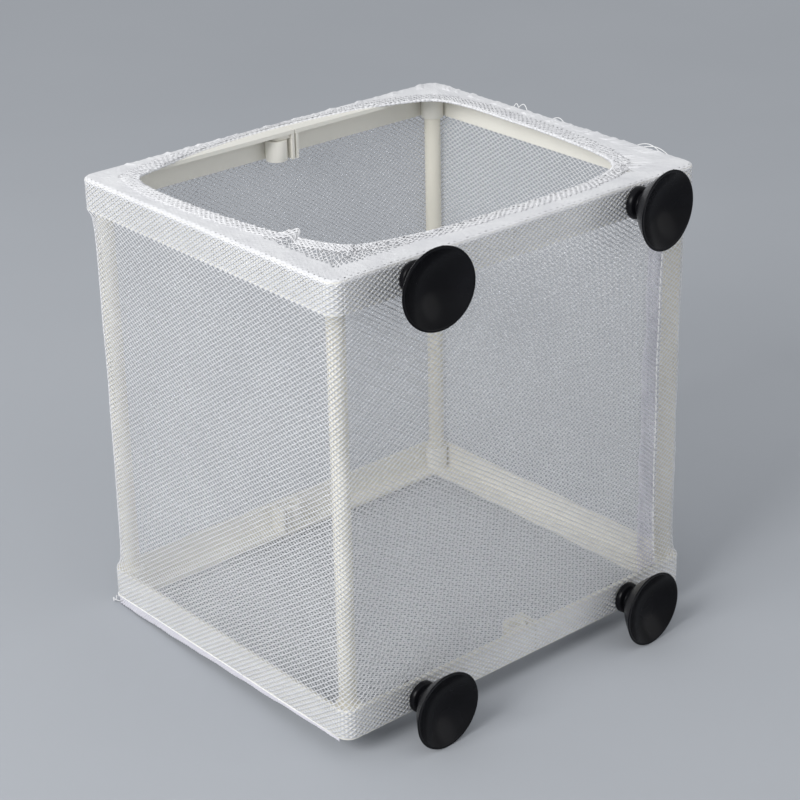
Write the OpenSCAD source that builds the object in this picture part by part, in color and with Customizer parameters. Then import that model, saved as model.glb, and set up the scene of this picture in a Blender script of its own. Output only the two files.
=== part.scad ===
// Fish breeding box: a knock-down cage of two plastic rings and four posts,
// dressed in a sewn net bag with an elastic mouth, and hung on a glass wall by suction cups.
// The suction cups are on the -Y face. Z is up, and Z = 0 is the underside of the net floor.

/* [Cage] */
// Width of the plastic frame along the suction cup face
frame_w = 128; // [110:1:160]
// Depth of the plastic frame, from the suction cup face to the rear
frame_d = 108; // [95:1:140]
// Height of the plastic frame, over both rings
frame_h = 128.8; // [100:0.2:160]

/* [Rings] */
// Height of a rail's upright wall
rail_h = 8.8; // [8.4:0.1:12]
// Thickness of a rail's upright wall
wall_t = 1.2; // [1:0.1:1.8]
// Width of a rail's flange, measured from its outer face
flange_w = 7.2; // [6.9:0.1:9]
// Thickness of a rail's flange
flange_t = 1.2; // [0.8:0.1:1.6]
// Outside radius of a ring's corners
corner_r = 3.5; // [2.4:0.1:5]
// Radius of the corners on the flange's inner edge
flange_inner_r = 1.5; // [0.5:0.1:3]

/* [Ring joints] */
// Outside diameter of the eye on the end of a half ring
eye_d = 6.4; // [5.6:0.1:7]
// Bore of the eye
eye_bore = 4; // [3:0.1:4.2]
// Distance of the joint between two halves from the eye, which is at the rail's middle
eye_inset = 4.4; // [4.3:0.1:7]
// Length of the peg that stands in the eye
peg_l = 4; // [2:0.1:5]
// Width of the tongue that carries the peg
tongue_w = 4.6; // [4.2:0.1:5]
// Thickness of the tongue
tongue_t = 1.2; // [0.8:0.1:1.5]
// Thickness of the upright plate on each end of a half ring
plate_t = 0.9; // [0.7:0.1:1.2]
// Distance from the joint to the plate beside the tongue's root
plate_setback = 0.5; // [0.4:0.1:2]

/* [Posts] */
// Diameter of a post
post_d = 4.9; // [4:0.1:5.4]
// Wall of the socket round the end of a post
socket_t = 0.85; // [0.7:0.05:1.2]

/* [Suction cups] */
// Diameter of a cup's rim
cup_d = 22; // [18:0.5:26]
// Distance from a rail's outer face to the rim's sealing face
cup_reach = 11.6; // [10:0.1:14]
// Depth of a cup's hollow
cup_hollow = 4.5; // [3:0.1:5]
// Width of the flat sealing face round the rim
rim_w = 0.7; // [0.4:0.1:1]
// Diameter of the stem that plugs into the rail
stem_d = 4.9; // [4:0.1:5.4]
// Length of the stem inside the rail's wall
stem_inside = 4.5; // [3:0.1:6]
// Diameter of the collar that lies on the net
collar_d = 9.5; // [8:0.1:12]
// Thickness of the collar
collar_t = 2; // [1.5:0.1:2.4]
// Length of the neck between the collar and the bell
neck_l = 1.6; // [1:0.1:2]
// Thickness of the rim's outer edge
rim_edge_t = 0.35; // [0.3:0.05:0.8]
// Distance from a side of the frame to the nearer suction cup
cup_from_side = 25; // [18:0.5:35]

/* [Net] */
// Thickness of the net
net_t = 0.5; // [0.4:0.1:0.8]
// Width of a strand between two gaps
strand_w = 1.2; // [0.8:0.1:2]
// Gaps across the front and the rear panel
gaps_w = 5; // [3:1:5]
// Gaps across a side panel, and across the depth of the floor
gaps_d = 4; // [3:1:4]
// Gaps up a panel
gaps_h = 5; // [3:1:5]

/* [Mouth] */
// Distance of the hem from the flange at the sides
hem_clear_side = 1.3; // [0.6:0.1:10]
// Distance of the hem from the flange at the front and the rear
hem_clear_front = 0.8; // [0.6:0.1:10]
// Corner radius of the mouth
mouth_r = 16; // [10:1:30]
// Diameter of the elastic cord
elastic_d = 1.2; // [0.8:0.1:1.8]
// Thickness of the hem rolled round the elastic cord
hem_t = 0.25; // [0.2:0.05:0.4]

/* [Seams] */
// Width of the side seam's allowance
side_seam_w = 8; // [4:0.5:12]
// Distance from the side of the frame to the side seam
side_seam_from_side = 12; // [8:0.5:20]
// Depth of the floor seam's allowance, which hangs under the rails
floor_seam_h = 2.4; // [1.5:0.1:4]
// Thickness of the two layers in a seam's allowance
seam_t = 0.9; // [0.6:0.1:1.2]

/* [Hidden] */
$fn = 48;
ivory = [0.87, 0.86, 0.81];
post_ivory = [0.84, 0.83, 0.77];
net_white = [0.93, 0.93, 0.95];
hem_white = [0.97, 0.97, 0.97];
seam_white = [0.86, 0.86, 0.9];
rubber_black = [0.05, 0.05, 0.055];

// Clearances
fit_gap = 0.05;     // round the posts, pegs and stems
butt_gap = 0.12;    // between the two halves of a ring, each side of the joint
lay_gap = 0.1;      // between pieces that lie on each other
net_gap = 0.15;     // between the frame and the net stretched over it
lift_gap = 0.3;     // between the collars and the net that they press on
hole_room = 0.5;    // round a stem, in the net
cord_room = 0.15;   // round the elastic cord, in its hem
seam_end_gap = 0.8; // between the side seam's ends and the collars
cut = 1;            // how far a cutting tool overshoots
root_overlap = 0.35; // how far the sockets and eyes run into the rail's wall

// Levels
frame_z = net_t + lay_gap;
frame_top = frame_z + frame_h;
cuff_z = frame_top + lay_gap;
cage_top = cuff_z + net_t;
cup_z = [frame_z + rail_h / 2, frame_top - rail_h / 2];
cup_x = frame_w / 2 - cup_from_side;

// Sockets and posts
socket_d = post_d + 2 * (fit_gap + socket_t);
socket_inset = wall_t + socket_d / 2 - root_overlap;
post_x = frame_w / 2 - socket_inset;
post_y = frame_d / 2 - socket_inset;
post_l = frame_h - 2 * flange_t - 2 * lay_gap;

// Joint between the halves of a ring
eye_y = frame_d / 2 - wall_t - eye_d / 2 + root_overlap;
tongue_z = flange_t + lay_gap;
eye_z = tongue_z + tongue_t + lay_gap;
peg_d = eye_bore - 2 * fit_gap;
peg_root_x = -eye_inset - plate_setback - plate_t;

// Suction cups: distances from the rail's outer face, and the curves of a cup's two faces
collar_s = net_gap + net_t + lift_gap;
neck_s = collar_s + collar_t;
bell_s = neck_s + neck_l;
hollow_s = cup_reach - cup_hollow;
stem_end_s = -wall_t - stem_inside;
stem_chamfer = 0.5;
bell_power = 1.5;
hollow_power = 2.1;
curve_steps = 7;

// Net
net_w = frame_w + 2 * (net_gap + net_t);
net_d = frame_d + 2 * (net_gap + net_t);
net_r = corner_r + net_gap + net_t;
panel_low = frame_z + rail_h;
panel_high = frame_top - rail_h;
window_w = 2 * (post_x - socket_d / 2);
window_d = 2 * (post_y - socket_d / 2);
stem_hole_d = stem_d + 2 * hole_room;

// Mouth: hem_x, hem_y and hem_r are on the hem's centre line
hem_bore = elastic_d + 2 * cord_room;
hem_d = hem_bore + 2 * hem_t;
hem_x = frame_w / 2 - flange_w - hem_clear_side - hem_d / 2;
hem_y = frame_d / 2 - flange_w - hem_clear_front - hem_d / 2;
hem_r = mouth_r + hem_d / 2;
hem_z = cage_top - hem_d / 2;

// Rectangle with round corners, centred, w along X and d along Y
module rounded_rect(w, d, r) {
  square([w - 2 * r, d], center = true);
  square([w, d - 2 * r], center = true);
  for (sx = [-1, 1], sy = [-1, 1])
    translate([sx * (w / 2 - r), sy * (d / 2 - r)]) circle(r);
}

// A flat ring between two rounded rectangles, from z = 0 up to t
module ring_plate(w, d, r, inner_w, inner_d, inner_r, t) {
  linear_extrude(t) difference() {
    rounded_rect(w, d, r);
    rounded_rect(inner_w, inner_d, inner_r);
  }
}

// Everything of a ring's rail section, all the way round
module rail_ring() {
  ring_plate(frame_w, frame_d, corner_r,
             frame_w - 2 * wall_t, frame_d - 2 * wall_t, corner_r - wall_t, rail_h);
  ring_plate(frame_w, frame_d, corner_r,
             frame_w - 2 * flange_w, frame_d - 2 * flange_w, flange_inner_r, flange_t);
}

// Upright plate across the end of a rail, from the wall to the flange's edge
module end_plate(x, side) {
  y = frame_d / 2 - flange_w;
  translate([x, side > 0 ? y : -y - flange_w + wall_t / 2, 0])
    cube([plate_t, flange_w - wall_t / 2, rail_h]);
}

// Half of a ring with its flange down, open towards +X. Its -Y rail runs past the middle and
// has the eye there. Its +Y rail stops short, and a tongue carries the peg to the middle.
// cup_side is -1 or 1: the rail that has the suction cup's hole.
module half_frame(cup_side) {
  color(ivory) difference() {
    union() {
      intersection() {
        rail_ring();
        translate([-frame_w, -frame_d, -cut]) {
          cube([frame_w - eye_inset - butt_gap, 2 * frame_d, rail_h + 2 * cut]);
          cube([frame_w + eye_inset - butt_gap, frame_d, rail_h + 2 * cut]);
        }
      }
      for (side = [-1, 1])
        translate([-post_x, side * post_y, 0]) cylinder(d = socket_d, h = rail_h);
      end_plate(eye_inset - butt_gap - plate_t, -1);
      end_plate(peg_root_x, 1);
      translate([0, -eye_y, eye_z]) cylinder(d = eye_d, h = rail_h - eye_z);
      peg_arm();
    }
    for (side = [-1, 1])
      translate([-post_x, side * post_y, flange_t])
        cylinder(d = post_d + 2 * fit_gap, h = rail_h);
    translate([0, -eye_y, eye_z - lay_gap]) cylinder(d = eye_bore, h = rail_h + cut);
    tongue_window();
    translate([-cup_x, cup_side * (frame_d / 2 + cut), rail_h / 2])
      rotate([cup_side * 90, 0, 0]) cylinder(d = stem_d + 2 * fit_gap, h = wall_t + 2 * cut);
  }
}

// Tongue that laps over the other half's flange, with the peg that fills its eye
module peg_arm() {
  root_z = flange_t / 2;
  translate([peg_root_x, eye_y - tongue_w / 2, tongue_z]) cube([-peg_root_x, tongue_w, tongue_t]);
  translate([peg_root_x, eye_y - tongue_w / 2, root_z])
    cube([-peg_root_x - eye_inset - butt_gap, tongue_w, tongue_z + tongue_t / 2 - root_z]);
  translate([0, eye_y, tongue_z]) cylinder(d = tongue_w, h = tongue_t);
  translate([0, eye_y, tongue_z]) cylinder(d = peg_d, h = tongue_t + peg_l);
}

// Window in the eye's end plate that the other half's tongue passes through
module tongue_window() {
  w = tongue_w + 2 * lay_gap;
  translate([eye_inset - butt_gap - plate_t - lay_gap, -eye_y - w / 2, flange_t])
    cube([plate_t + 2 * lay_gap, w, tongue_t + 2 * lay_gap]);
}

// The other half of a ring is the same shape turned half a turn
module on_bottom() { translate([0, 0, frame_z]) children(); }
module on_top() { translate([0, 0, frame_top]) rotate([180, 0, 0]) children(); }

module bottom_half_frame_left() { on_bottom() half_frame(-1); }
module bottom_half_frame_right() { on_bottom() rotate([0, 0, 180]) half_frame(1); }
module top_half_frame_left() { on_top() half_frame(1); }
module top_half_frame_right() { on_top() rotate([0, 0, 180]) half_frame(-1); }

module post(sx, sy) {
  color(post_ivory) translate([sx * post_x, sy * post_y, frame_z + flange_t + lay_gap])
    cylinder(d = post_d, h = post_l);
}

// Diamond gaps in staggered rows that fill a window w wide and h high, from its lower left.
// Those on the window's edge are cut off by it.
module net_gaps(w, h, across, up) {
  px = w / across;
  pz = h / up;
  edge_distance = px * pz / 4 / norm([px / 2, pz / 2]);
  shrink = 1 - strand_w / 2 / edge_distance;
  a = shrink * px / 2;
  b = shrink * pz / 2;
  intersection() {
    square([w, h]);
    union() {
      for (i = [0:across - 1], j = [0:up - 1])
        translate([(i + 0.5) * px, (j + 0.5) * pz])
          polygon([[a, 0], [0, b], [-a, 0], [0, -b]]);
      for (i = [0:across], j = [0:up])
        translate([i * px, j * pz]) polygon([[a, 0], [0, b], [-a, 0], [0, -b]]);
    }
  }
}

// Front or rear panel of the net, drawn in X and Z, w wide between the round corners
module flat_panel(w, window_w, across, side, holes) {
  translate([0, side * (frame_d / 2 + net_gap) + (side > 0 ? net_t : 0), 0])
    rotate([90, 0, 0]) linear_extrude(net_t) difference() {
      translate([-w / 2, 0]) square([w, frame_top]);
      translate([-window_w / 2, panel_low])
        net_gaps(window_w, panel_high - panel_low, across, gaps_h);
      if (holes)
        for (sx = [-1, 1], z = cup_z) translate([sx * cup_x, z]) circle(d = stem_hole_d);
    }
}

module net_front() {
  color(net_white) flat_panel(net_w - 2 * net_r, window_w, gaps_w, -1, true);
}

module net_rear() {
  color(net_white) flat_panel(net_w - 2 * net_r, window_w, gaps_w, 1, false);
}

// Side panel with the two quarter rounds that join it to the front and the rear panel
module side_panel(side) {
  color(net_white) {
    difference() {
      translate([side * (net_w - net_t) / 2, 0, frame_top / 2])
        cube([net_t, net_d - 2 * net_r, frame_top], center = true);
      translate([side * (net_w - net_t) / 2 - net_t, -window_d / 2, panel_low])
        rotate([90, 0, 90]) linear_extrude(2 * net_t)
          net_gaps(window_d, panel_high - panel_low, gaps_d, gaps_h);
    }
    for (sy = [-1, 1])
      translate([side * (net_w / 2 - net_r), sy * (net_d / 2 - net_r), 0])
        rotate([0, 0, side > 0 ? (sy > 0 ? 0 : -90) : (sy > 0 ? 90 : 180)])
          rotate_extrude(angle = 90) translate([net_r - net_t, 0]) square([net_t, frame_top]);
  }
}

module net_left() { side_panel(-1); }
module net_right() { side_panel(1); }

// Floor of the net, whose edge lies inside the floor seam's allowance
module net_floor() {
  floor_window_w = frame_w - 2 * flange_w;
  floor_window_d = frame_d - 2 * flange_w;
  color(net_white) linear_extrude(net_t) difference() {
    rounded_rect(frame_w, frame_d, corner_r);
    translate([-floor_window_w / 2, -floor_window_d / 2])
      net_gaps(floor_window_w, floor_window_d, gaps_w, gaps_d);
  }
}

// Net folded over the top ring, from the cage's edge to the hem
module net_cuff() {
  inner_w = 2 * hem_x + hem_d + 2 * lay_gap;
  inner_d = 2 * hem_y + hem_d + 2 * lay_gap;
  color(hem_white) translate([0, 0, cuff_z])
    ring_plate(net_w, net_d, net_r, inner_w, inner_d, hem_r + hem_d / 2 + lay_gap, net_t);
}

// A closed round tube or rod along the mouth's outline
module mouth_loop(outer_d, bore) {
  straight_x = hem_x - hem_r;
  straight_y = hem_y - hem_r;
  for (turn = [0, 180]) rotate([0, 0, turn]) {
    translate([-straight_x, -hem_y, hem_z]) rotate([0, 90, 0])
      tube(outer_d, bore, 2 * straight_x);
    translate([hem_x, -straight_y, hem_z]) rotate([-90, 0, 0])
      tube(outer_d, bore, 2 * straight_y);
    translate([straight_x, straight_y, hem_z])
      rotate_extrude(angle = 90) translate([hem_r, 0]) tube_section(outer_d, bore);
    translate([straight_x, -straight_y, hem_z]) rotate([0, 0, -90])
      rotate_extrude(angle = 90) translate([hem_r, 0]) tube_section(outer_d, bore);
  }
}

module tube_section(outer_d, bore) {
  difference() {
    circle(d = outer_d, $fn = 24);
    if (bore > 0) circle(d = bore, $fn = 24);
  }
}

module tube(outer_d, bore, l) {
  linear_extrude(l) tube_section(outer_d, bore);
}

module hem_channel() { color(hem_white) mouth_loop(hem_d, hem_bore); }
module elastic_cord() { color(hem_white) mouth_loop(elastic_d, 0); }

// Seam allowance of the bag's one upright seam, on the outside of the front panel
module side_seam() {
  x = frame_w / 2 - side_seam_from_side - side_seam_w;
  low = cup_z[0] + collar_d / 2 + seam_end_gap;
  high = cup_z[1] - collar_d / 2 - seam_end_gap;
  color(seam_white) translate([x, -net_d / 2 - seam_t, low])
    cube([side_seam_w, seam_t, high - low]);
}

// Allowance of the seam between walls and floor: it hangs under the sides and the rear
module floor_seam() {
  color(seam_white) {
    for (side = [-1, 1])
      translate([side * (frame_w / 2 + net_gap + seam_t / 2), 0, -floor_seam_h / 2])
        cube([seam_t, net_d - 2 * net_r, floor_seam_h], center = true);
    translate([0, frame_d / 2 + net_gap + seam_t / 2, -floor_seam_h / 2])
      cube([net_w - 2 * net_r, seam_t, floor_seam_h], center = true);
  }
}

// One rubber moulding, turned about its axis: [radius, distance from the rail's face]
module suction_cup_solid() {
  r = cup_d / 2;
  neck_r = stem_d / 2;
  // The bell's back and its hollow both open out towards the rim in a shallow curve
  back = [for (i = [0:curve_steps]) let (f = i / curve_steps)
    [neck_r + (r - neck_r) * f, bell_s + (cup_reach - rim_edge_t - bell_s) * pow(f, bell_power)]];
  hollow = [for (i = [curve_steps:-1:1]) let (f = i / curve_steps)
    [(r - rim_w) * f, hollow_s + cup_hollow * pow(f, hollow_power)]];
  rotate_extrude() polygon(concat(
    [[0, stem_end_s], [neck_r - stem_chamfer, stem_end_s], [neck_r, stem_end_s + stem_chamfer],
     [neck_r, collar_s], [collar_d / 2, collar_s], [collar_d / 2, neck_s], [neck_r, neck_s]],
    back, [[r, cup_reach]], hollow, [[0, hollow_s]]));
}

module suction_cup(sx, level) {
  color(rubber_black) translate([sx * cup_x, -frame_d / 2, cup_z[level]])
    rotate([90, 0, 0]) suction_cup_solid();
}

bottom_half_frame_left();
bottom_half_frame_right();
top_half_frame_left();
top_half_frame_right();
post(-1, -1);  // post_front_left
post(1, -1);  // post_front_right
post(-1, 1);  // post_rear_left
post(1, 1);  // post_rear_right
net_front();
net_rear();
net_left();
net_right();
net_floor();
net_cuff();
hem_channel();
elastic_cord();
side_seam();
floor_seam();
suction_cup(-1, 0);  // suction_cup_bottom_left
suction_cup(1, 0);  // suction_cup_bottom_right
suction_cup(-1, 1);  // suction_cup_top_left
suction_cup(1, 1);  // suction_cup_top_right
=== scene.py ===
"""Fish breeding box: the looks of its frame, net, hems, seams and suction cups round the CAD part."""
import math

import bpy
import numpy as np
from mathutils import Matrix, Vector


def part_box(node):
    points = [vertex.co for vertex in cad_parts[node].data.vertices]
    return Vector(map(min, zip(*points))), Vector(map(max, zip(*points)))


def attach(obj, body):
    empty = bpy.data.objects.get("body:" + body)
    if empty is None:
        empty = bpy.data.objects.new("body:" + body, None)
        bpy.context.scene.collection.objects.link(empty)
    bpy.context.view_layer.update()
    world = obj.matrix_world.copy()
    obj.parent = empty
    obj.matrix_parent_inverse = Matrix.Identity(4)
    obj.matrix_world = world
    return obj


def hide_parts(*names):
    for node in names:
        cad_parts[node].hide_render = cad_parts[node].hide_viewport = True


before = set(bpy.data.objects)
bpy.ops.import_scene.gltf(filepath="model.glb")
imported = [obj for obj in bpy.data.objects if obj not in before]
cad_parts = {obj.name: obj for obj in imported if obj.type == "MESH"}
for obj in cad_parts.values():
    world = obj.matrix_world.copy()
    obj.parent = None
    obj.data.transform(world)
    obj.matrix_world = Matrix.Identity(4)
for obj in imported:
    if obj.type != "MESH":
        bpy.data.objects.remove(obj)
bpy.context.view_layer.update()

MM = 0.001
THREAD = 0.3        # width of a net thread
THREAD_T = 0.3      # thickness of a net thread
ARC_SHARE = 0.0516  # part of a side that each of its two round corners takes
COLUMNS = (116, 108, 116, 108)   # grid columns along the front, right, rear and left
RNG = np.random.default_rng(7)


def box_mm(node):
    """Lowest and highest corner of a CAD node, in mm."""
    low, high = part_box(node)
    return np.array(low) / MM, np.array(high) / MM


RING_LOW, RING_HIGH = box_mm("top_half_frame_left")
BASE_LOW, BASE_HIGH = box_mm("bottom_half_frame_left")
FRAME_X = -RING_LOW[0]
FRAME_Y = RING_HIGH[1]
FRAME_TOP = RING_HIGH[2]
RAIL_TOP = BASE_HIGH[2]     # top of the bottom ring
RAIL_BOTTOM = RING_LOW[2]   # underside of the top ring
NET_OUT = 0.1               # the net's middle, outside the rails
NET_R = 3.7
POST_X, POST_Y = box_mm("post_front_right")[1][0], box_mm("post_rear_right")[1][1]
POST_R = 2.75
POST_OUT = 0.2              # the net's middle, outside the posts
CUFF_Z = FRAME_TOP + 0.3
EDGE_R = 1.0                # rounding of the net over the ring's top edge


# Meshes

def mesh_object(name, points, faces, smooth=True):
    """A new mesh object from points in mm."""
    mesh = bpy.data.meshes.new(name)
    mesh.from_pydata((np.asarray(points) * MM).tolist(), [], faces)
    mesh.update()
    if smooth:
        mesh.shade_smooth()
    obj = bpy.data.objects.new(name, mesh)
    bpy.context.scene.collection.objects.link(obj)
    return obj


def dress(obj, body, material):
    """Gives a piece its body and its material."""
    obj.data.materials.clear()
    obj.data.materials.append(material)
    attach(obj, body)
    return obj


def jittered(grid, amount):
    """The grid with its points moved at random. amount is in mm, one number or one a point."""
    return grid + RNG.normal(0, 1, grid.shape) * np.asarray(amount)[..., None]


def lattice(name, grid, keep, phase=0, width=THREAD, thickness=THREAD_T, fill=0.85, smooth=True):
    """A net as one closed mesh: knots on every other grid point, threads along the diagonals.
    grid has a margin of one cell round the knots, and keep says which grid points stay. width
    and thickness are a thread's, in mm, one number or one for each grid point. fill is the
    largest share of a step that half a thread may take."""
    i, j = np.indices(keep.shape)
    knot = keep & ((i + j + phase) % 2 == 0)
    knot[[0, -1]] = False
    knot[:, [0, -1]] = False
    width = np.broadcast_to(width, keep.shape)[knot][:, None]
    thickness = np.broadcast_to(thickness, keep.shape)[knot][:, None]
    index = np.full(knot.shape, -1)
    index[knot] = np.arange(knot.sum())
    a, b = np.nonzero(knot)
    middle = grid[a, b]
    arms = [grid[a + 1, b], grid[a, b + 1], grid[a - 1, b], grid[a, b - 1]]
    normal = np.cross(arms[0] - arms[2], arms[1] - arms[3])
    normal /= np.linalg.norm(normal, axis=1, keepdims=True)
    half_t = thickness / 2 * RNG.uniform(0.92, 1.08, (len(middle), 1))
    points = [middle + normal * half_t, middle - normal * half_t]
    for arm in arms:
        step = arm - middle
        length = np.linalg.norm(step, axis=1, keepdims=True)
        points.append(middle + step * np.minimum(fill, width / math.sqrt(2) / length))
    points = np.stack(points, 1).reshape(-1, 3)
    faces = []
    halves = []

    def add(corners, half):
        faces.append(np.stack(corners, 1))
        halves.append(np.full(len(corners[0]), half))

    top, bottom, east, north, west, south = range(6)
    first = index[a, b] * 6
    ne, nw = index[a + 1, b + 1] * 6, index[a - 1, b + 1] * 6
    se, sw = index[a + 1, b - 1] * 6, index[a - 1, b - 1] * 6
    p, q = first[ne >= 0], ne[ne >= 0]
    add((p + top, p + east, q + south, q + top), 0)
    add((p + top, q + top, q + west, p + north), 0)
    add((p + bottom, q + bottom, q + south, p + east), 1)
    add((p + bottom, p + north, q + west, q + bottom), 1)
    p, q = first[nw >= 0], nw[nw >= 0]
    add((p + top, p + north, q + east, q + top), 0)
    add((p + top, q + top, q + south, p + west), 0)
    add((p + bottom, q + bottom, q + east, p + north), 1)
    add((p + bottom, p + west, q + south, q + bottom), 1)
    for other, u, v in ((ne, east, north), (nw, north, west), (sw, west, south), (se, south, east)):
        p = first[other < 0]
        add((p + top, p + u, p + v), 0)
        add((p + bottom, p + v, p + u), 1)
    all_faces = [face for block in faces for face in block.tolist()]
    obj = mesh_object(name, points, all_faces, smooth)
    bake_map(obj, a, b, keep.shape, np.concatenate(halves))
    return obj


def bake_map(obj, a, b, shape, half):
    """A UV map over the grid, with the outer faces in its left half and the inner in its right."""
    offsets = np.array([[0, 0], [0, 0], [0.3, 0], [0, 0.3], [-0.3, 0], [0, -0.3]])
    uv = np.stack([a, b], 1)[:, None, :] + offsets[None]
    uv = (uv.reshape(-1, 2) + 0.5) / np.array(shape)
    loops = np.empty(len(obj.data.loops), dtype=np.int64)
    obj.data.loops.foreach_get("vertex_index", loops)
    sizes = np.empty(len(obj.data.polygons), dtype=np.int64)
    obj.data.polygons.foreach_get("loop_total", sizes)
    out = uv[loops]
    out[:, 0] = (out[:, 0] * 0.96 + 0.02 + np.repeat(half, sizes)) / 2
    layer = obj.data.uv_layers.new(name="OFBake")
    layer.data.foreach_set("uv", out.astype(np.float32).ravel())


# The cage's walls

def loop_at(u, half_x, half_y, radius):
    """Points of a round-cornered rectangle. u is 0 to 1 along the front, 1 to 2 up the right
    with its two corners, 2 to 3 along the rear and 3 to 4 down the left with its corners.
    Also the distance from the nearest corner."""
    turn = np.where(np.mod(u, 4) < 2, 1.0, -1.0)
    v = np.mod(u, 2)
    f = v - 1
    run_x, run_y = half_x - radius, half_y - radius
    angle = np.where(f < ARC_SHARE, f / ARC_SHARE - 1, np.maximum(f - 1 + ARC_SHARE, 0) / ARC_SHARE)
    angle = angle * math.pi / 2
    along = np.clip((f - ARC_SHARE) / (1 - 2 * ARC_SHARE), 0, 1) * 2 - 1
    front = v < 1
    x = np.where(front, (2 * v - 1) * run_x, run_x + radius * np.cos(angle))
    y = np.where(front, -half_y, along * run_y + radius * np.sin(angle))
    corner = np.where(front, (1 - abs(2 * v - 1)) * run_x, (1 - abs(along)) * run_y)
    return x * turn, y * turn, corner


def column_u(column):
    """Position round the loop of a grid column, counted from the front left."""
    starts = np.concatenate([[0], np.cumsum(COLUMNS)])
    column = np.mod(column, starts[-1])
    side = np.searchsorted(starts, column, side="right") - 1
    return side + (column - starts[side]) / np.array(COLUMNS)[side]


WALL_ROWS = 184     # grid rows up a wall: the openings are lower than wide
WALL_LOW = -0.45
HEEL_R = 1.0        # rounding of the net under the bottom ring's edge
HEEL_Z = 1.2
WALL_TOP = FRAME_TOP - 0.5
ROW_STEP = (WALL_TOP - WALL_LOW) / (WALL_ROWS - 1)
WALL_NOISE = RNG.normal(0, 0.035, (sum(COLUMNS), WALL_ROWS + 2, 3))


def wall_surface(columns, z):
    """The net round the frame: over the rails, drawn in to the posts between them, and turned
    under the bottom ring's edge."""
    u = column_u(columns)
    under = np.clip((HEEL_Z - z) / HEEL_R, 0, math.pi / 2)
    z = np.where(z < HEEL_Z, HEEL_Z - HEEL_R * np.sin(under), z)
    out = NET_OUT - HEEL_R * (1 - np.cos(under))
    rail_x, rail_y, corner = loop_at(u, FRAME_X + out, FRAME_Y + out, NET_R)
    post_x, post_y, _ = loop_at(u, POST_X + POST_OUT, POST_Y + POST_OUT, POST_R)
    height = RAIL_BOTTOM - RAIL_TOP
    level = np.clip((z - RAIL_TOP) / height, 0, 1) * math.pi
    sag = np.arctan2(np.sin(level), np.sinh((corner + 1.5) * math.pi / height)) * 2 / math.pi
    wave = 0.12 * np.sin(z * 0.21 + u * 9) + 0.1 * np.sin(z * 0.083 - u * 23)
    x = rail_x + (post_x - rail_x) * sag
    y = rail_y + (post_y - rail_y) * sag
    side = np.floor(u).astype(int) % 4
    shift = wave * np.sin(level)
    x = x + np.where(side % 2 == 0, shift, 0)
    y = y + np.where(side % 2 == 1, shift, 0)
    return np.stack([x, y, z + 0 * x], -1)


def on_rail(z):
    """1 where the net is pressed flat on a rail and 0 between the rails."""
    low = np.clip((RAIL_TOP + 0.5 - z) / 1.5, 0, 1)
    high = np.clip((z - RAIL_BOTTOM + 0.5) / 1.5, 0, 1)
    return np.maximum(low, high)


def panel(first, count):
    """One wall of the net, as a grid of its columns and rows."""
    columns, rows = np.meshgrid(np.arange(first - 1, first + count + 2),
                                np.arange(-1, WALL_ROWS + 1), indexing="ij")
    grid = wall_surface(columns, WALL_LOW + rows * ROW_STEP)
    return grid + WALL_NOISE[columns % sum(COLUMNS), rows + 1], np.ones(columns.shape, bool)


def cut_holes(grid, keep, centres, radius):
    """Opens a net round the suction cups' stems."""
    for x, z in centres:
        keep &= np.hypot(grid[..., 0] - x, grid[..., 2] - z) > radius


CUPS = {}
for level in ("bottom", "top"):
    for side in ("left", "right"):
        cup_low, cup_high = box_mm(f"suction_cup_{level}_{side}")
        CUPS[level + "_" + side] = (cup_low + cup_high) / 2


def make_walls(material, seam):
    """The four walls. The argument seam, the side seam's pieces, is not used."""
    first = 0
    for name, count in zip(("net_front", "net_right", "net_rear", "net_left"), COLUMNS):
        grid, keep = panel(first, count)
        if name == "net_front":
            cut_holes(grid, keep, [(c[0], c[2]) for c in CUPS.values()], 2.6)
        pressed = on_rail(grid[..., 2])
        obj = lattice(name + "_mesh", grid, keep, phase=first % 2,
                      width=THREAD + 0.32 * pressed, thickness=THREAD_T - 0.19 * pressed)
        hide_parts(name)
        dress(obj, "cage", material)
        first += count


def make_floor_net(material, seam):
    """The bag's floor, pulled flat under the bottom ring."""
    nx, ny = 167, 141
    i, j = np.meshgrid(np.arange(-1, nx + 1), np.arange(-1, ny + 1), indexing="ij")
    x = (i / (nx - 1) - 0.5) * 2 * (FRAME_X - 0.8)
    y = (j / (ny - 1) - 0.5) * 2 * (FRAME_Y - 0.8)
    z = 0.3 + 0 * x
    inset = np.hypot(np.maximum(abs(x) - FRAME_X + 3.5, 0), np.maximum(abs(y) - FRAME_Y + 3.5, 0))
    grid = jittered(np.stack([x, y, z], -1), 0.035)
    obj = lattice("net_floor_mesh", grid, inset < 3.5)
    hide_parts("net_floor")
    dress(obj, "cage", material)


# The cuff and the mouth

MOUTH = ((0.12, -38.5, -40.2), (0.3, -20, -43.8), (0.5, 1, -44.4), (0.7, 22, -45), (0.88, 39, -43),
         (1.027, 47.5, -38.3), (1.2, 51.5, -27), (1.4, 53.6, -9), (1.6, 54.6, 10), (1.8, 54.6, 29),
         (1.973, 51.5, 39.8), (2.1, 42, 45), (2.28, 24, 49.6), (2.5, -1, 51.6), (2.72, -26, 49.4),
         (2.9, -44.5, 45.2), (3.027, -53, 42), (3.2, -55.8, 31), (3.4, -55.6, 12),
         (3.6, -53.6, -8), (3.8, -50, -26), (3.973, -45.5, -36))


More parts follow.
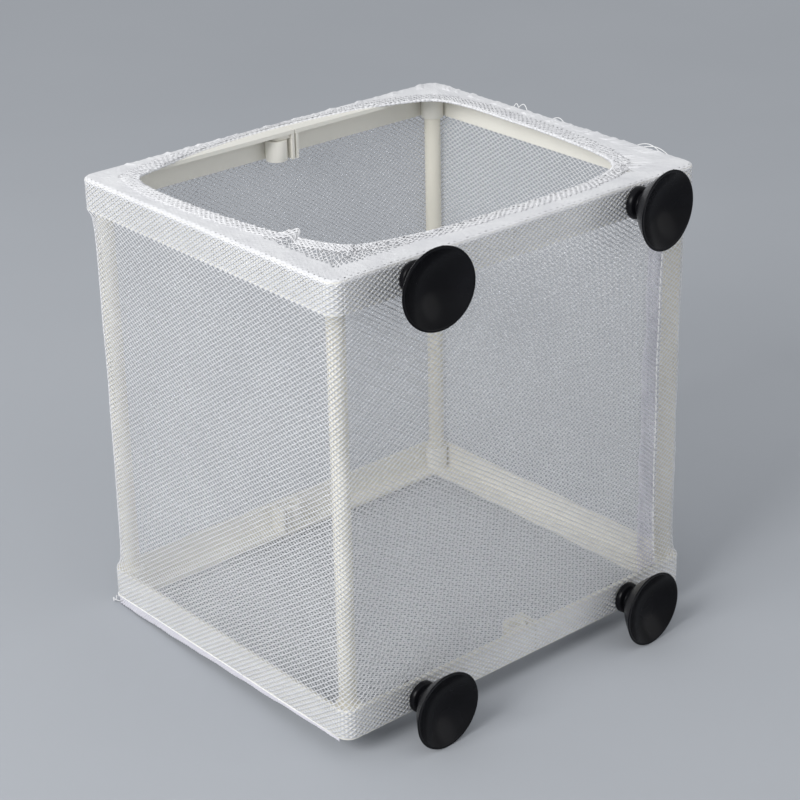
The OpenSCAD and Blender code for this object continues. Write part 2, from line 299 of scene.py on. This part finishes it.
def mouth_at(u):
    """The mouth's edge, through its points with a smooth closed curve."""
    knots = np.array(MOUTH)
    t, p = knots[:, 0], knots[:, 1:]
    t_all = np.concatenate([t[-2:] - 4, t, t[:2] + 4])
    p_all = np.concatenate([p[-2:], p, p[:2]])
    slope = (p_all[2:] - p_all[:-2]) / (t_all[2:] - t_all[:-2])[:, None]
    u = np.mod(u, 4)
    k = np.clip(np.searchsorted(t_all, u, side="right") - 1, 1, len(t_all) - 3)
    h = (t_all[k + 1] - t_all[k])
    s = ((u - t_all[k]) / h)[..., None]
    h = h[..., None]
    a, b = p_all[k], p_all[k + 1]
    ma, mb = slope[k - 1] * h, slope[k] * h
    return ((2 * s**3 - 3 * s**2 + 1) * a + (s**3 - 2 * s**2 + s) * ma
            + (3 * s**2 - 2 * s**3) * b + (s**3 - s**2) * mb)


EDGE_T = 0.14       # share of the cuff's rows that goes over the ring's rounded edge
CUFF_ROWS = 18
FLANGE_W = 7.2
FOLD_W = 4.4        # width of the mouth's turned-in hem


def ruffle(u):
    """Height of the small pucker at the mouth's left, as a share of its peak."""
    off = (np.mod(u, 4) - 3.757) / np.where(np.mod(u, 4) < 3.757, 0.03, 0.012)
    return np.exp(-off**2)


def mouth_edge(u):
    """The mouth's edge with its pucker, and its height above the cuff."""
    peak = ruffle(u)
    edge = mouth_at(u)
    edge = edge + np.stack([2.8 * peak, 0.9 * peak], -1)
    return edge, 1.1 * peak


def cuff_frame(columns):
    """The outer edge of the flat part of the cuff and the mouth's edge, for each column."""
    u = column_u(columns)
    half_x, half_y = FRAME_X + NET_OUT - EDGE_R, FRAME_Y + NET_OUT - EDGE_R
    x, y, _ = loop_at(u, half_x, half_y, NET_R - EDGE_R)
    edge, rise = mouth_edge(u)
    return np.stack([x, y], -1), edge, rise


def flat_net(columns, s, lift):
    """Points of the net over the ring. s is 0 at the ring's rounded edge and 1 at the mouth."""
    outer, edge, rise = cuff_frame(columns)
    point = outer + (edge - outer) * s[..., None]
    inside = np.minimum(FRAME_X - FLANGE_W - abs(point[..., 0]),
                        FRAME_Y - FLANGE_W - abs(point[..., 1]))
    free = np.clip(inside / 3, 0, 1)
    gather = np.sin(columns * 1.3) * np.sin(columns * 0.37 + 1) + 0.6 * np.sin(columns * 2.1)
    z = CUFF_Z + lift + 0.2 * gather * free - 0.25 * free + rise * s**3
    return np.concatenate([point, z[..., None]], -1), free


def cuff_surface(columns, t, lift):
    """The net from the wall's last row, t = 0, over the ring's edge to the mouth, t = 1."""
    outer, _, _ = cuff_frame(columns)
    half_x, half_y = FRAME_X + NET_OUT, FRAME_Y + NET_OUT
    x, y, _ = loop_at(column_u(columns), half_x, half_y, NET_R)
    turn = np.clip(t / EDGE_T, -0.3, 1) * math.pi / 2
    bend = np.stack([outer[..., 0] + (x - outer[..., 0]) * np.cos(turn),
                     outer[..., 1] + (y - outer[..., 1]) * np.cos(turn),
                     CUFF_Z - EDGE_R + EDGE_R * np.sin(turn) + lift], -1)
    flat, free = flat_net(columns, np.maximum(t - EDGE_T, 0) / (1 - EDGE_T), lift)
    return np.where((t > EDGE_T)[..., None], flat, bend), free * (t > EDGE_T)


def cuff_grid(rows):
    return np.meshgrid(np.arange(-1, sum(COLUMNS) + 2), np.arange(-1, rows + 1), indexing="ij")


def lumps(columns):
    """Height of the lumps that the cloth makes along the right and rear edges."""
    u = column_u(columns)
    wave = np.sin(columns * 0.83) * np.sin(columns * 0.29 + 2) + 0.5 * np.sin(columns * 1.9)
    return 0.35 * np.clip(wave, 0, 1) * ((u > 1.1) & (u < 2.9))


def make_cuff(material):
    """The net over the ring's top: one layer to the mouth, and a second, close one over the
    flange and along the right side."""
    i, j = cuff_grid(CUFF_ROWS)
    t = j / (CUFF_ROWS - 1)
    grid, free = cuff_surface(i, t, 0.0)
    grid = jittered(grid, 0.04 + 0.12 * free)
    cuff = lattice("net_cuff_mesh", grid, np.ones(i.shape, bool), phase=1, width=0.6 - 0.18 * free)
    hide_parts("net_cuff")
    dress(cuff, "cage", material)
    grid, free = cuff_surface(i + 1, t, 0.24 + lumps(i) * (t < 0.4))
    keep = (free < 0.05) | (grid[..., 0] > 0.72 * FRAME_X)
    on_top = np.clip((t - 0.5 * EDGE_T) / EDGE_T, 0, 1)
    over = lattice("net_cuff_second_layer", jittered(grid, 0.03), keep, phase=1,
                   width=0.5 + 1.1 * on_top, thickness=0.06, fill=0.98, smooth=False)
    dress(over, "cage", material)
    return cuff, over


def make_fold(material):
    """The hem turned in from the mouth's edge, on top of the cuff."""
    rows = 6
    i, j = cuff_grid(rows)
    outer, edge, _ = cuff_frame(i)
    wide = np.linalg.norm(edge - outer, axis=-1)
    fold = np.minimum(FOLD_W + 0.3 * np.sin(i * 0.7) * np.sin(i * 0.19), 0.62 * wide)
    t = j / (rows - 1)
    grid, free = flat_net(i, 1 - (1 - t) * fold / wide, 0.34)
    front = np.clip((-44 - grid[..., 1] + 8) / 6, 0, 1) * free
    grid = jittered(grid, 0.07 + 0.12 * front)
    obj = lattice("mouth_hem", grid, np.ones(i.shape, bool), width=0.9 - 0.48 * front)
    dress(obj, "cage", material)
    return obj


def tube(name, path, radius, segments=10):
    """A closed tube along a closed path, in mm. radius is a number or one for each point."""
    path = np.asarray(path)
    radius = np.broadcast_to(radius, (len(path),))
    ahead = np.roll(path, -1, 0) - np.roll(path, 1, 0)
    ahead /= np.linalg.norm(ahead, axis=1, keepdims=True)
    side = np.cross(ahead, [0, 0, 1])
    side /= np.linalg.norm(side, axis=1, keepdims=True)
    up = np.cross(side, ahead)
    angle = np.arange(segments) / segments * 2 * math.pi
    ring = (side[:, None] * np.cos(angle)[None, :, None] + up[:, None] * np.sin(angle)[None, :, None])
    points = (path[:, None] + ring * radius[:, None, None]).reshape(-1, 3)
    n = len(path)
    faces = []
    for k in range(n):
        for s in range(segments):
            a, b = k * segments + s, k * segments + (s + 1) % segments
            c, d = (a + segments) % (n * segments), (b + segments) % (n * segments)
            faces.append((a, b, d, c))
    return mesh_object(name, points, faces)


def make_hem(material):
    """The mouth's edge, rolled round the elastic."""
    u = np.linspace(0, 4, 1400, endpoint=False)
    edge, rise = mouth_edge(u)
    k = np.arange(len(u))
    z = CUFF_Z - 0.2 + rise + 0.1 * np.sin(k * 0.031) * np.sin(k * 0.013)
    radius = 0.38 + 0.08 * np.sin(k * 1.25) + 0.05 * np.sin(k * 0.37) * np.sin(k * 0.11)
    obj = tube("hem_roll", np.column_stack([edge, z]), radius)
    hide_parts("hem_channel", "elastic_cord")
    dress(obj, "cage", material)
    return obj


def make_mouth(material, elastic_material):
    """The cloth over the ring, its hem and the rolled edge, as separate pieces."""
    cuff, over = make_cuff(material)
    pieces = (over, make_fold(material), make_hem(elastic_material))


# The seams

def open_tube(name, path, radius, segments=8):
    """A closed tube along an open path, with pointed ends, in mm."""
    path = np.asarray(path, float)
    ahead = np.gradient(path, axis=0)
    ahead /= np.linalg.norm(ahead, axis=1, keepdims=True)
    side = np.cross(ahead, [0.13, 0.21, 0.97])
    side /= np.linalg.norm(side, axis=1, keepdims=True)
    up = np.cross(side, ahead)
    angle = np.arange(segments) / segments * 2 * math.pi
    ring = side[:, None] * np.cos(angle)[None, :, None] + up[:, None] * np.sin(angle)[None, :, None]
    radius = np.broadcast_to(radius, (len(path),))
    points = (path[:, None] + ring * radius[:, None, None]).reshape(-1, 3)
    points = np.concatenate([points, path[:1], path[-1:]])
    first, last = len(points) - 2, len(points) - 1
    faces = []
    for k in range(len(path) - 1):
        for s in range(segments):
            a, b = k * segments + s, k * segments + (s + 1) % segments
            faces.append((a, b, b + segments, a + segments))
    end = (len(path) - 1) * segments
    for s in range(segments):
        faces.append((first, (s + 1) % segments, s))
        faces.append((last, end + s, end + (s + 1) % segments))
    return mesh_object(name, points, faces)


def join(name, objects):
    """Joins objects into the first and names it."""
    bpy.ops.object.select_all(action="DESELECT")
    for obj in objects:
        obj.select_set(True)
    bpy.context.view_layer.objects.active = objects[0]
    bpy.ops.object.join()
    objects[0].name = name
    return objects[0]


SEAM_LEFT, SEAM_RIGHT = box_mm("side_seam")[0][0], box_mm("side_seam")[1][0]
SEAM_LOW, SEAM_HIGH = box_mm("side_seam")[0][2], box_mm("side_seam")[1][2]


def front_column(x):
    """Column of the front wall at an x."""
    run = FRAME_X + NET_OUT - NET_R
    return (x + run) / (2 * run) * COLUMNS[0]


def make_side_seam(material, thread):
    """The bag's upright seam: its allowance lies on the net, with a ragged inner edge."""
    rows = int((SEAM_HIGH - SEAM_LOW) / ROW_STEP)
    across = 9
    i, j = np.meshgrid(np.arange(-1, across + 1), np.arange(-1, rows + 1), indexing="ij")
    z = SEAM_LOW + j * (SEAM_HIGH - SEAM_LOW) / (rows - 1)
    down = (SEAM_HIGH - z) / (SEAM_HIGH - SEAM_LOW)
    left = SEAM_LEFT + 2.6 - 1.8 * down + 0.5 * np.sin(z * 0.31) * np.sin(z * 0.083 + 1)
    x = left + (SEAM_RIGHT - left) * i / (across - 1)
    grid = wall_surface(front_column(x), z)
    grid[..., 1] -= 0.5 + 0.15 * np.sin(z * 0.17 + i * 0.6)
    obj = lattice("side_seam_net", jittered(grid, 0.07), np.ones(i.shape, bool), width=0.46)
    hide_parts("side_seam")
    dress(obj, "cage", material)
    stitches = []
    for z0 in np.arange(SEAM_LOW + 1, SEAM_HIGH - 3, 2.4):
        z = np.linspace(z0, z0 + 1.9, 5)
        path = wall_surface(front_column(SEAM_RIGHT - 0.6 + 0 * z), z)
        path[:, 1] -= 0.75 + 0.22 * np.sin(np.linspace(0, math.pi, 5))
        stitches.append(open_tube("stitch", path, 0.2))
    return [obj, dress(join("side_seam_stitches", stitches), "cage", thread)]


def seam_path(step, out):
    """Points under the left, rear and right rails' outer faces, from front to rear to front."""
    half_x, half_y = FRAME_X + out, FRAME_Y + out
    run_x, run_y = half_x - 3, half_y - 3
    left = [(-half_x, y) for y in np.arange(-run_y, run_y, step)]
    rear = [(x, half_y) for x in np.arange(-run_x, run_x, step)]
    right = [(half_x, y) for y in np.arange(run_y, -run_y, -step)]
    turn = np.arange(0.15, 1, 0.3) * math.pi / 2
    first = [(-run_x - 3 * math.cos(a), run_y + 3 * math.sin(a)) for a in turn]
    second = [(run_x + 3 * math.sin(a), run_y + 3 * math.cos(a)) for a in turn]
    return np.array(left + first + rear + second + right)


def seam_depth(spot):
    """Depth of the floor seam's allowance: it runs out towards the front."""
    share = np.clip((FRAME_Y - spot[..., 1]) / (2 * FRAME_Y), 0, 1)
    return 0.25 + 2.05 * (1 - share**1.3)


def make_floor_seam(material, thread):
    """The allowance of the seam between walls and floor, hanging under three rails."""
    path = seam_path(0.5, -0.6)
    rows = 6
    i, j = np.meshgrid(np.arange(-1, len(path) + 1), np.arange(-1, rows + 1), indexing="ij")
    spot = path[np.clip(i, 0, len(path) - 1)]
    depth = seam_depth(spot) + 0.1 * np.sin(i * 0.12) * np.sin(i * 0.037)
    z = 0.3 - (depth + 0.3) * j / (rows - 1)
    layers = []
    for k, out in enumerate((0.0, 0.35)):
        away = spot * (1 + (out + 0.1 * np.sin(i * 0.21 + k))[..., None] / 60)
        grid = np.concatenate([away, z[..., None]], -1)
        layers.append(lattice(f"floor_seam_net_{k}", jittered(grid, 0.03), np.ones(i.shape, bool),
                              phase=k, width=0.6, thickness=0.2, fill=0.9))
    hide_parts("floor_seam")
    # the seam layers take the seam material, whose darker grey-lilac is painted shade
    for layer in layers:
        dress(layer, "cage", material)
    fine = seam_path(0.3, NET_OUT - 0.1)
    k = np.arange(len(fine))
    bead = 0.16 + 0.05 * np.sin(k * 0.3 * 2 * math.pi / 1.7)
    bead *= np.clip(np.minimum(k, k[::-1]) / 60, 0.2, 1)
    height = 0.5 + 0.06 * np.sin(k * 0.05)
    ridge = open_tube("floor_seam_ridge", np.column_stack([fine, height]), bead)
    dress(ridge, "cage", thread)
    return layers + [ridge]


def loose_thread(start, end, lift, curls):
    """A frayed thread's points: an arc, with so many small curls on it."""
    f = np.linspace(0, 1, 16 + 12 * curls)[:, None]
    turn = f * 2 * math.pi * curls
    arc = np.array(start) + (np.array(end) - np.array(start)) * f
    arc = arc + np.array(lift) * np.sin(f * math.pi)
    if curls:
        arc = arc + 0.45 * np.hstack([0 * f, np.sin(turn), 1 - np.cos(turn)])
    return arc


def make_loose_threads(material):
    """Frayed threads on the right top edge and at the rear left foot."""
    top = CUFF_Z + 0.2
    side = FRAME_X + NET_OUT
    foot_y = FRAME_Y - 1
    threads = [((side, 18.4, top - 0.4), (side, 16.3, top - 0.2), (0.2, 0, 1.1), 0),
               ((side, 16.3, top - 0.2), (side, 12.6, top - 0.4), (0.3, 0, 1.5), 0),
               ((side, 2, top - 0.3), (side, -2.5, top - 0.3), (0.2, 0, 0.7), 0),
               ((side, -31.5, top - 0.3), (side, -40, top - 0.3), (0.3, 0, 1.1), 0),
               ((side - 0.5, -34, top - 0.2), (side, -43, top - 0.4), (0.5, 0, 0.9), 0),
               ((-side, foot_y - 2, -1.2), (-side - 0.4, foot_y + 1, -2.2), (-0.8, 0, 0), 1),
               ((-side + 1, foot_y, -0.8), (-side - 0.6, foot_y + 0.8, -1.6), (-0.5, 0, -0.6), 2)]
    pieces = [open_tube("thread", loose_thread(*thread), 0.13, 6) for thread in threads]
    dress(join("loose_threads", pieces), "cage", material)


# Suction cups

def cup_profile():
    """Half section of a cup, as radius and distance from the rail's face, from tip to hollow."""
    section = [(0, -5.7), (0.9, -5.6), (1.55, -5.25), (2.05, -4.6), (2.35, -3.7), (2.45, -2.8),
               (2.45, 0.95), (4.15, 0.95),
               (4.5, 1.2), (4.55, 1.6), (4.45, 2.6), (4.2, 2.9), (3.3, 3.05), (2.95, 3.3)]
    for k in range(25):
        f = k / 24
        section.append((2.9 + 7.95 * f, 3.9 + 7.25 * f**1.45))
    section += [(10.98, 11.3), (11.0, 11.45), (10.95, 11.58), (10.8, 11.6), (10.4, 11.6),
                (10.25, 11.5)]
    for k in range(24, -1, -1):
        f = k / 24
        section.append((10.2 * f, 7.1 + 4.35 * f**2.1))
    section[-1] = (0, 7.1)
    return section


def lathe(name, profile, segments=96):
    """A closed solid turned about -Y. The profile starts and ends on the axis."""
    rings = [(r, s) for r, s in profile if r > 0]
    points = [(0, -profile[0][1], 0)]
    for r, s in rings:
        for k in range(segments):
            angle = 2 * math.pi * k / segments
            points.append((r * math.cos(angle), -s, r * math.sin(angle)))
    points.append((0, -profile[-1][1], 0))
    last = len(points) - 1
    faces = [(0, 1 + k, 1 + (k + 1) % segments) for k in range(segments)]
    for n in range(len(rings) - 1):
        base = 1 + n * segments
        for k in range(segments):
            a, b = base + k, base + (k + 1) % segments
            faces.append((a, a + segments, b + segments, b))
    base = 1 + (len(rings) - 1) * segments
    faces += [(base + (k + 1) % segments, base + k, last) for k in range(segments)]
    return mesh_object(name, points, faces)


CUP_TURN = {"top_left": -5, "top_right": 6, "bottom_left": 2, "bottom_right": 4}


def make_cups(material):
    """The four cups. Each sits a little askew in its hole, by so many degrees."""
    for name, centre in CUPS.items():
        obj = lathe(f"cup_{name}_rubber", cup_profile())
        spot = Vector((centre[0], -FRAME_Y, centre[2])) * MM
        askew = Matrix.Rotation(math.radians(CUP_TURN[name]), 4, "Z")
        obj.data.transform(Matrix.Translation(spot) @ askew)
        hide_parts(f"suction_cup_{name}")
        dress(obj, f"cup_{name}", material)


# Materials

def surface(name, dark, light, rough, scale, bump=0.0, bump_scale=None, **inputs):
    """A material whose colour and roughness vary with noise, and that may have a fine relief."""
    mat = bpy.data.materials.new(name)
    mat.use_nodes = True
    nodes, links = mat.node_tree.nodes, mat.node_tree.links
    shader = nodes["Principled BSDF"]
    place = nodes.new("ShaderNodeTexCoord")
    noise = nodes.new("ShaderNodeTexNoise")
    noise.inputs["Scale"].default_value = scale
    noise.inputs["Detail"].default_value = 4
    links.new(place.outputs["Object"], noise.inputs["Vector"])
    ramp = nodes.new("ShaderNodeValToRGB")
    ramp.color_ramp.elements[0].position = 0.3
    ramp.color_ramp.elements[0].color = (*dark, 1)
    ramp.color_ramp.elements[1].position = 0.7
    ramp.color_ramp.elements[1].color = (*light, 1)
    links.new(noise.outputs["Fac"], ramp.inputs["Fac"])
    links.new(ramp.outputs["Color"], shader.inputs["Base Color"])
    spread = nodes.new("ShaderNodeMapRange")
    spread.inputs["To Min"].default_value = rough[0]
    spread.inputs["To Max"].default_value = rough[1]
    links.new(noise.outputs["Fac"], spread.inputs["Value"])
    links.new(spread.outputs["Result"], shader.inputs["Roughness"])
    if bump:
        fine = nodes.new("ShaderNodeTexNoise")
        fine.inputs["Scale"].default_value = bump_scale
        links.new(place.outputs["Object"], fine.inputs["Vector"])
        relief = nodes.new("ShaderNodeBump")
        relief.inputs["Strength"].default_value = bump
        relief.inputs["Distance"].default_value = 0.0002
        links.new(fine.outputs["Fac"], relief.inputs["Height"])
        links.new(relief.outputs["Normal"], shader.inputs["Normal"])
    for key, value in inputs.items():
        shader.inputs[key.replace("_", " ")].default_value = value
    return mat


# The frame's plastic

def make_frame(rail_material, post_material):
    """The CAD rings and posts, with their edges eased."""
    for name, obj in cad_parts.items():
        if "half_frame" not in name and not name.startswith("post"):
            continue
        weld = obj.modifiers.new("weld", "WELD")
        weld.merge_threshold = 0.00001
        ease = obj.modifiers.new("ease", "BEVEL")
        ease.width = 0.0002
        ease.segments = 2
        ease.limit_method = "ANGLE"
        ease.angle_limit = math.radians(40)
        obj.data.materials.clear()
        obj.data.materials.append(post_material if name.startswith("post") else rail_material)


# Camera, light and floor

AZIMUTH, ELEVATION, ROLL = (math.radians(a) for a in (-40.29, 24.77, -1.17))


def make_camera():
    data = bpy.data.cameras.new("camera")
    data.sensor_width = 36
    data.lens = 98.3
    data.clip_start = 0.01
    camera = bpy.data.objects.new("camera", data)
    bpy.context.scene.collection.objects.link(camera)
    back = Vector((math.sin(AZIMUTH) * math.cos(ELEVATION),
                   -math.cos(AZIMUTH) * math.cos(ELEVATION), math.sin(ELEVATION)))
    right = (-back).cross(Vector((0, 0, 1))).normalized()
    up = right.cross(-back)
    right_rolled = right * math.cos(ROLL) + up * math.sin(ROLL)
    up_rolled = up * math.cos(ROLL) - right * math.sin(ROLL)
    camera.matrix_world = Matrix((right_rolled, up_rolled, back)).transposed().to_4x4()
    camera.location = (-0.363, -0.431, 0.321)
    bpy.context.scene.camera = camera


def area_light(name, direction, distance, size, power, colour=(1, 1, 1)):
    data = bpy.data.lights.new(name, "AREA")
    data.shape = "DISK"
    data.size = size
    data.energy = power
    data.color = colour
    light = bpy.data.objects.new(name, data)
    bpy.context.scene.collection.objects.link(light)
    spot = Vector(direction).normalized() * distance
    light.location = spot + Vector((0, 0, 0.065))
    light.rotation_mode = "QUATERNION"
    light.rotation_quaternion = spot.to_track_quat("Z", "Y")


def make_floor(material):
    """A floor that touches the lower cups' rims and the rear floor seam."""
    cup_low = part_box("suction_cup_bottom_left")[0]
    seam_low, seam_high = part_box("floor_seam")
    slope = (seam_low.z - cup_low.z) / (seam_high.y - cup_low.y)
    size = 3
    corners = [(x, y, cup_low.z + slope * (y - cup_low.y) - 0.0001)
               for x, y in ((-size, -size), (size, -size), (size, size), (-size, size))]
    mesh = bpy.data.meshes.new("floor")
    mesh.from_pydata(corners, [], [(0, 1, 2, 3)])
    floor = bpy.data.objects.new("floor", mesh)
    bpy.context.scene.collection.objects.link(floor)
    mesh.materials.append(material)


def make_world(strength):
    world = bpy.data.worlds.new("studio")
    world.use_nodes = True
    background = world.node_tree.nodes["Background"]
    background.inputs["Color"].default_value = (0.95, 0.97, 1, 1)
    background.inputs["Strength"].default_value = strength
    bpy.context.scene.world = world


net_look = surface("net_nylon", (0.87, 0.875, 0.90), (0.93, 0.935, 0.955), (0.5, 0.7), 60,
                   Transmission_Weight=0.18)
cuff_look = surface("cuff_nylon", (0.77, 0.77, 0.79), (0.87, 0.87, 0.88), (0.5, 0.7), 140, 0.3, 1300)
# painted shade: the seams' nylon is painted a darker grey-lilac than the net's white, standing in for
# the shade under the rails where the floor seam's allowance hangs; the side seam takes the same
# colour
seam_shade_look = surface("seam_nylon_painted_shade", (0.66, 0.65, 0.71), (0.77, 0.76, 0.81), (0.5, 0.7), 90)
thread_look = surface("sewing_thread", (0.82, 0.82, 0.82), (0.9, 0.9, 0.9), (0.5, 0.7), 300)
elastic_look = surface("elastic_white", (0.84, 0.84, 0.86), (0.9, 0.9, 0.91), (0.5, 0.7), 200)
rail_look = surface("rail_plastic", (0.84, 0.82, 0.745), (0.885, 0.865, 0.795), (0.32, 0.45), 25,
                    0.05, 900)
post_look = surface("post_plastic", (0.81, 0.78, 0.68), (0.86, 0.83, 0.735), (0.3, 0.42), 25,
                    0.05, 900)
rubber_look = surface("black_rubber", (0.004, 0.004, 0.005), (0.008, 0.008, 0.01), (0.2, 0.32), 90,
                      Specular_IOR_Level=0.12)
floor_look = surface("floor_paper", (0.44, 0.46, 0.49), (0.47, 0.49, 0.52), (0.85, 0.95), 4,
                     Specular_IOR_Level=0.15)

make_frame(rail_look, post_look)
make_walls(net_look, make_side_seam(seam_shade_look, thread_look))
make_floor_net(net_look, make_floor_seam(seam_shade_look, thread_look))
make_mouth(cuff_look, elastic_look)
make_loose_threads(thread_look)
make_cups(rubber_look)
make_floor(floor_look)
make_camera()
area_light("key", (-0.85, -0.1, 0.5), 1.3, 0.72, 11.8)
area_light("fill", (0.6, -1, 0.35), 2, 1.5, 4.6)
make_world(0.56)
bpy.context.scene.view_settings.view_transform = "Standard"
